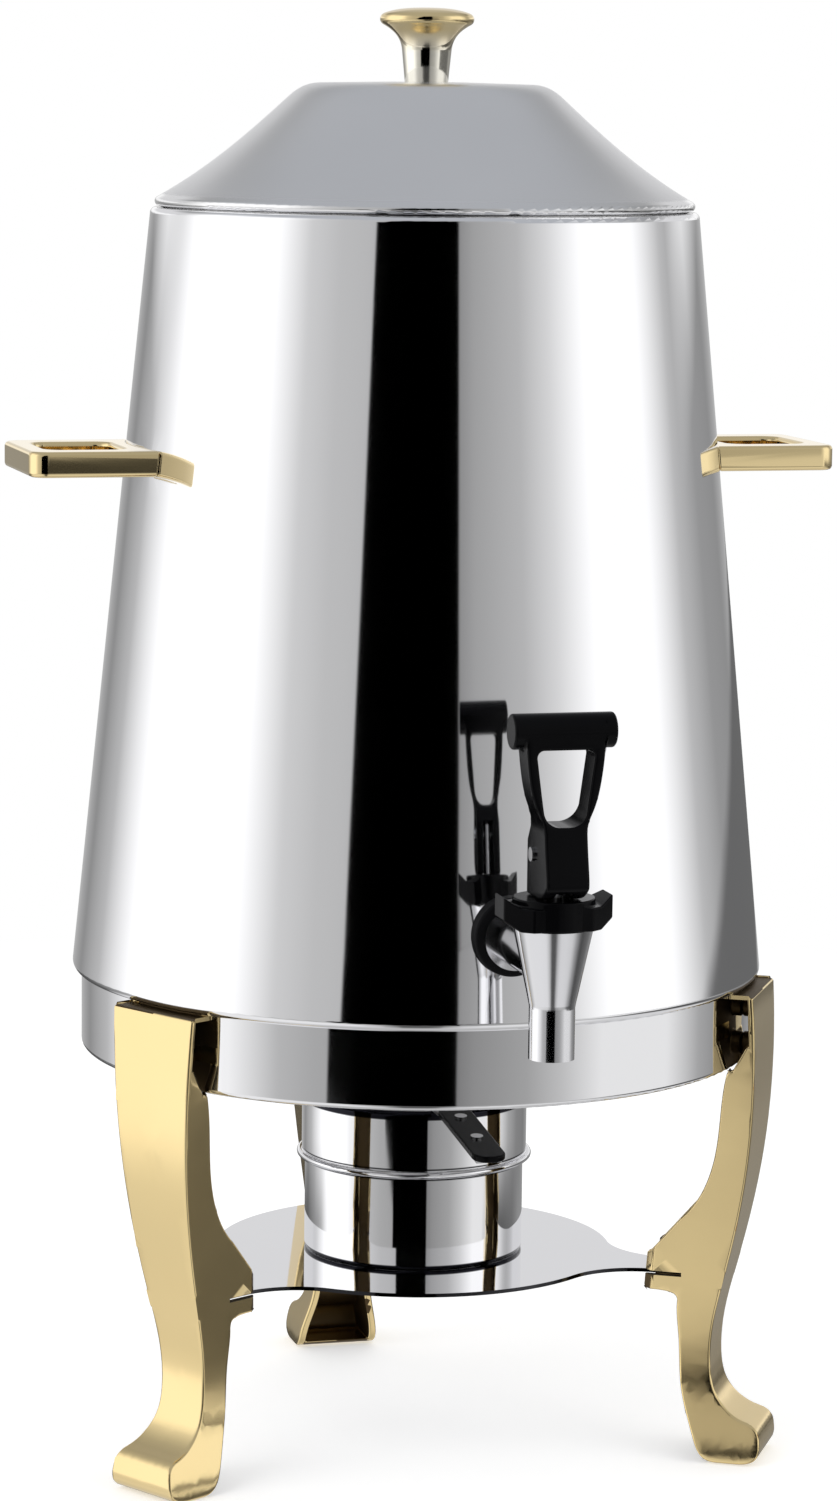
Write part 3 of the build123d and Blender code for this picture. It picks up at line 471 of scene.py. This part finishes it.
def plastic(name, color, roughness, spread, gloss=0.5):
    """Moulded plastic or rubber: soft gloss, faint mottling and a fine skin."""
    lighter = tuple(min(1.0, part * MOTTLE_GAIN + MOTTLE_LIFT) for part in color)
    n = Surface(name)
    place = n.place["Object"]
    cloud = n.noise(place, **MOTTLE)
    smear = n.math("MULTIPLY_ADD", cloud, spread, roughness - spread / 2)
    n.fill(n.shader, Base_Color=n.mix(cloud, color, lighter), Roughness=smear, Specular_IOR_Level=gloss)
    n.bump(n.noise(place, **SKIN), SKIN_STRENGTH, SKIN_DEPTH)
    return n


POLISHED = dict(
    color=(0.93, 0.93, 0.94), worn=(0.90, 0.90, 0.92), roughness=0.045, spread=0.03, wave=0.02
)
SATIN = dict(roughness=0.30, spread=0.06, grain=0.004, grain_scale=(1, 1, 0.1))
BRIGHT_GOLD = dict(
    color=(0.92, 0.75, 0.42), worn=(0.88, 0.70, 0.37), roughness=0.07, spread=0.03, wave=0.03
)
# painted shade for the shelf's cut edge
EDGE_SHADE = (0.05, 0.05, 0.055)
# painted shade, laid in bands on the burner's cup and cap where pieces meet or sit under others
PAINTED_SHADE = (0.015, 0.015, 0.02)


def shelf_steel():
    """Polished sheet with painted shade on its cut edge."""
    n = metal("shelf_steel", **POLISHED)
    n.tint(n.cut_edge(), EDGE_SHADE)
    return n


def cup_steel():
    """Polished sheet with painted shade in bands: at its foot, where it stands on the shelf, and right
    under the cap.
    """
    foot_shade, cap_shade = 2.0 * MM, 1.3 * MM
    cup_foot, cap_foot = heights("burner_cup")[0], heights("burner_cap")[0]
    n = metal("cup_steel", **POLISHED)
    n.tint(n.shade_bands([(cup_foot, cup_foot + foot_shade), (cap_foot - cap_shade, cap_foot)]), PAINTED_SHADE)
    return n


def cap_steel():
    """Polished sheet with painted shade in bands: right above its bead, and along its top edge under the
    skirt.
    """
    bead, bead_shade, top_shade = 3.0 * MM, 1.0 * MM, 4.0 * MM
    foot, top = heights("burner_cap")
    n = metal("cap_steel", **POLISHED)
    n.tint(n.shade_bands([(foot + bead, foot + bead + bead_shade), (top - top_shade, top)]), PAINTED_SHADE)
    return n


def knob_gold():
    """Bright gold with a painted highlight: it turns paler down the knob's stem."""
    fade_from, fade_to, pale = 20.0 * MM, 11.0 * MM, (0.93, 0.90, 0.80)
    foot = heights("lid_knob")[0]
    n = metal("knob_gold", **BRIGHT_GOLD)
    # the pale tone is a painted highlight
    n.tint(n.rise(n.height(), foot + fade_from, foot + fade_to), pale)
    return n


def lid_steel():
    """Satin steel with a fine grain up its slope, polished on the rolled rim."""
    rim, rim_roughness = 4.2 * MM, 0.12
    rim_top = heights("body_shell")[1] + rim
    n = metal("lid_steel", color=(0.88, 0.88, 0.885), worn=(0.82, 0.82, 0.825), **SATIN)
    roughness = n.shader.inputs["Roughness"]
    above_rim = n.rise(n.height(), rim_top, rim_top + MM)
    dulled = n.product(above_rim, roughness.links[0].from_socket)
    n.put(roughness, n.math("MAXIMUM", dulled, rim_roughness))
    return n


polished = metal("polished_steel", **POLISHED)
satin = metal("satin_steel", color=(0.86, 0.86, 0.865), worn=(0.80, 0.80, 0.805), **SATIN)
cast_gold = metal(
    "cast_gold", (0.91, 0.73, 0.39), (0.87, 0.67, 0.33), roughness=0.16, spread=0.05, wave=0.03
)
bright_gold = metal("bright_gold", **BRIGHT_GOLD)
# rough gold darkened with painted shade, for the faces in the legs' hollows
shaded_hollow_gold = metal(
    "shaded_hollow_gold", (0.15, 0.105, 0.05), (0.09, 0.06, 0.03), roughness=0.50, spread=0.12, grain=0.02
)
chrome = metal(
    "tap_chrome", (0.84, 0.84, 0.86), (0.78, 0.78, 0.80), roughness=0.10, spread=0.04, wave=0.02
)
plain_steel = metal("plain_steel", (0.66, 0.66, 0.67), (0.58, 0.58, 0.59), roughness=0.30, spread=0.10)
bright_steel = metal("bright_steel", (0.90, 0.90, 0.91), (0.82, 0.82, 0.83), roughness=0.14, spread=0.06)
black = plastic("black_plastic", (0.0016, 0.0016, 0.0020), roughness=0.20, spread=0.10, gloss=0.07)
black_rubber = plastic("black_rubber", (0.003, 0.003, 0.0035), roughness=0.45, spread=0.15, gloss=0.08)
silicone = plastic("silicone", (0.70, 0.68, 0.63), roughness=0.55, spread=0.12)

slot_surface = {
    "polished_steel": polished,
    "satin_steel": satin,
    "pale_brass": bright_gold,
    "tap_chrome": chrome,
    "black_plastic": black,
    "black_seal": black_rubber,
    "silicone": silicone,
    "fastener_steel": plain_steel,
}
node_surface = {
    "damper_rivets": bright_steel,
    "lever_pin": bright_steel,
    "burner_shelf": shelf_steel(),
    "burner_cup": cup_steel(),
    "burner_cap": cap_steel(),
    "lid_knob": knob_gold(),
    "lid_shell": lid_steel(),
}
slot_of = {entry["node"]: entry["material_slot"] for entry in frame["record"]["subparts"]}
body_of = {node: body for body, nodes in frame["record"]["behaviour"]["bodies"].items() for node in nodes}
for name, slot in slot_of.items():
    materials = frame["nodes"][name].data.materials
    materials.clear()
    materials.append(node_surface.get(name, slot_surface[slot]).material)


# ---------------------------------------------------------------- soft-edged pieces
WELD = 0.002 * MM  # corners nearer than this are one
FLAT = radians(0.03)  # facets that meet at less than this are one face
SHARP = radians(28)  # edges that turn more than this are rounded
ROUND_STEPS = 3
ROUND_PROFILE = 0.5  # an arc
CREASE = radians(40)  # edges that still turn more than this shade as sharp
NORMAL_WEIGHT = 80
LEG_ROUND = 0.9 * MM
MOULDED_ROUND = {
    "handle_left": 0.8 * MM,
    "handle_right": 0.8 * MM,
    "tap_lever": 1.0 * MM,
    "tap_bonnet": 0.7 * MM,
    "damper_grip": 0.4 * MM,
}


def add_piece(name, mesh):
    """An object of the scene's own."""
    piece = bpy.data.objects.new(name, mesh)
    bpy.context.scene.collection.objects.link(piece)
    return piece


def round_edges(bm, radius, keep):
    """Rounds a mesh's sharp edges, but for those to keep, and splits its faces of many corners."""
    sharp = [edge for edge in bm.edges if edge.calc_face_angle(0) > SHARP and not keep(edge)]
    bmesh.ops.bevel(
        bm, geom=sharp, affect="EDGES", offset=radius, offset_type="OFFSET", segments=ROUND_STEPS,
        profile=ROUND_PROFILE, clamp_overlap=False, material=-1, loop_slide=True,
    )
    bmesh.ops.triangulate(bm, faces=[face for face in bm.faces if len(face.verts) > 4])


def softened(name, radius, surfaces=None, surface_of=None, keep=lambda edge: False):
    """A casting or moulding in a node's place, with its sharp edges rounded but for those to keep."""
    mesh = bpy.data.meshes.new(name + "_soft")
    bm = bmesh.new()
    bm.from_mesh(frame["nodes"][name].data)
    bmesh.ops.remove_doubles(bm, verts=bm.verts, dist=WELD)
    bmesh.ops.dissolve_limit(bm, angle_limit=FLAT, verts=bm.verts, edges=bm.edges)
    if surface_of:
        for face in bm.faces:
            face.material_index = int(surface_of(face))
    round_edges(bm, radius, keep)
    for face in bm.faces:
        face.smooth = True
    bm.to_mesh(mesh)
    bm.free()
    if "custom_normal" in mesh.attributes:  # the CAD mesh's own normals, which no longer fit
        mesh.attributes.remove(mesh.attributes["custom_normal"])
    mesh.set_sharp_from_angle(angle=CREASE)
    for surface in surfaces or (slot_surface[slot_of[name]],):
        mesh.materials.append(surface.material)
    piece = add_piece(name + "_soft", mesh)
    even = piece.modifiers.new("even_normals", "WEIGHTED_NORMAL")
    even.keep_sharp = True
    even.weight = NORMAL_WEIGHT
    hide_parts(name)
    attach(piece, body_of[name])


def leg_hollow(name):
    """Tells which faces of a leg lie in its hollow, where the casting is left rough and is darkened with
    painted shade.
    """
    facing = 0.3  # a face looks some way where its normal points there by more than this
    outer, flat = 0.5, 0.9  # and it is on the outside or level from here on
    wall, boss_half = 2.7 * MM, 5.5 * MM  # how thick its sides are, and half a screw boss
    margin = 1.0 * MM
    band = 3 * MM  # the leg's half width is read off its corners, band by band
    low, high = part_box(name)
    middle = (low + high) / 2
    outward = Vector((middle.x, middle.y, 0)).normalized()
    across = Vector((-outward.y, outward.x, 0))
    skirt_foot = heights("skirt_ring")[0]
    shelf_foot, shelf_top = heights("burner_shelf")
    half = {}
    for vertex in frame["nodes"][name].data.vertices:
        level = int(vertex.co.z / band)
        half[level] = max(half.get(level, 0.0), abs(vertex.co.dot(across)))

    @cache
    def half_width(level):
        """The smaller half width of the two nearest bands that have corners."""
        nearest = sorted(half, key=lambda other: abs(other - level))[:2]
        return min(half[other] for other in nearest)

    def inside(face):
        centre = face.calc_center_median()
        side = centre.dot(across)
        inwards = face.normal.dot(across) * (-1 if side > 0 else 1)
        outwards = face.normal.dot(outward)
        wall_inside = inwards > facing and abs(side) > margin
        bottom = outwards < -facing and abs(side) < half_width(int(centre.z / band)) - wall
        boss = outwards < outer and abs(side) < boss_half and centre.z > skirt_foot
        slot = abs(face.normal.z) > flat and shelf_foot - margin < centre.z < shelf_top + margin
        return wall_inside or bottom or boss or slot

    return inside


def beside_shelf(edge):
    """Tells which edges belong to a lug's slot, which stays sharp."""
    margin = 0.5 * MM
    shelf_foot, shelf_top = heights("burner_shelf")
    return shelf_foot - margin < (edge.verts[0].co.z + edge.verts[1].co.z) / 2 < shelf_top + margin


for leg in ("leg_front_left", "leg_front_right", "leg_back"):
    softened(leg, LEG_ROUND, (cast_gold, shaded_hollow_gold), leg_hollow(leg), beside_shelf)
for name, radius in MOULDED_ROUND.items():
    softened(name, radius)


# ---------------------------------------------------------------- valve spring
def pressed_spring():
    """A copy of the valve's spring in its node's place; the real spring is pressed together under the
    bonnet as the lever is pulled.
    """
    piece = add_piece("valve_spring_pressed", frame["nodes"]["valve_spring"].data.copy())
    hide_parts("valve_spring")
    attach(piece, body_of["valve_spring"])
    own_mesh(piece)


pressed_spring()

# ---------------------------------------------------------------- closing lines
scene = bpy.context.scene
scene.view_settings.view_transform = "Standard"
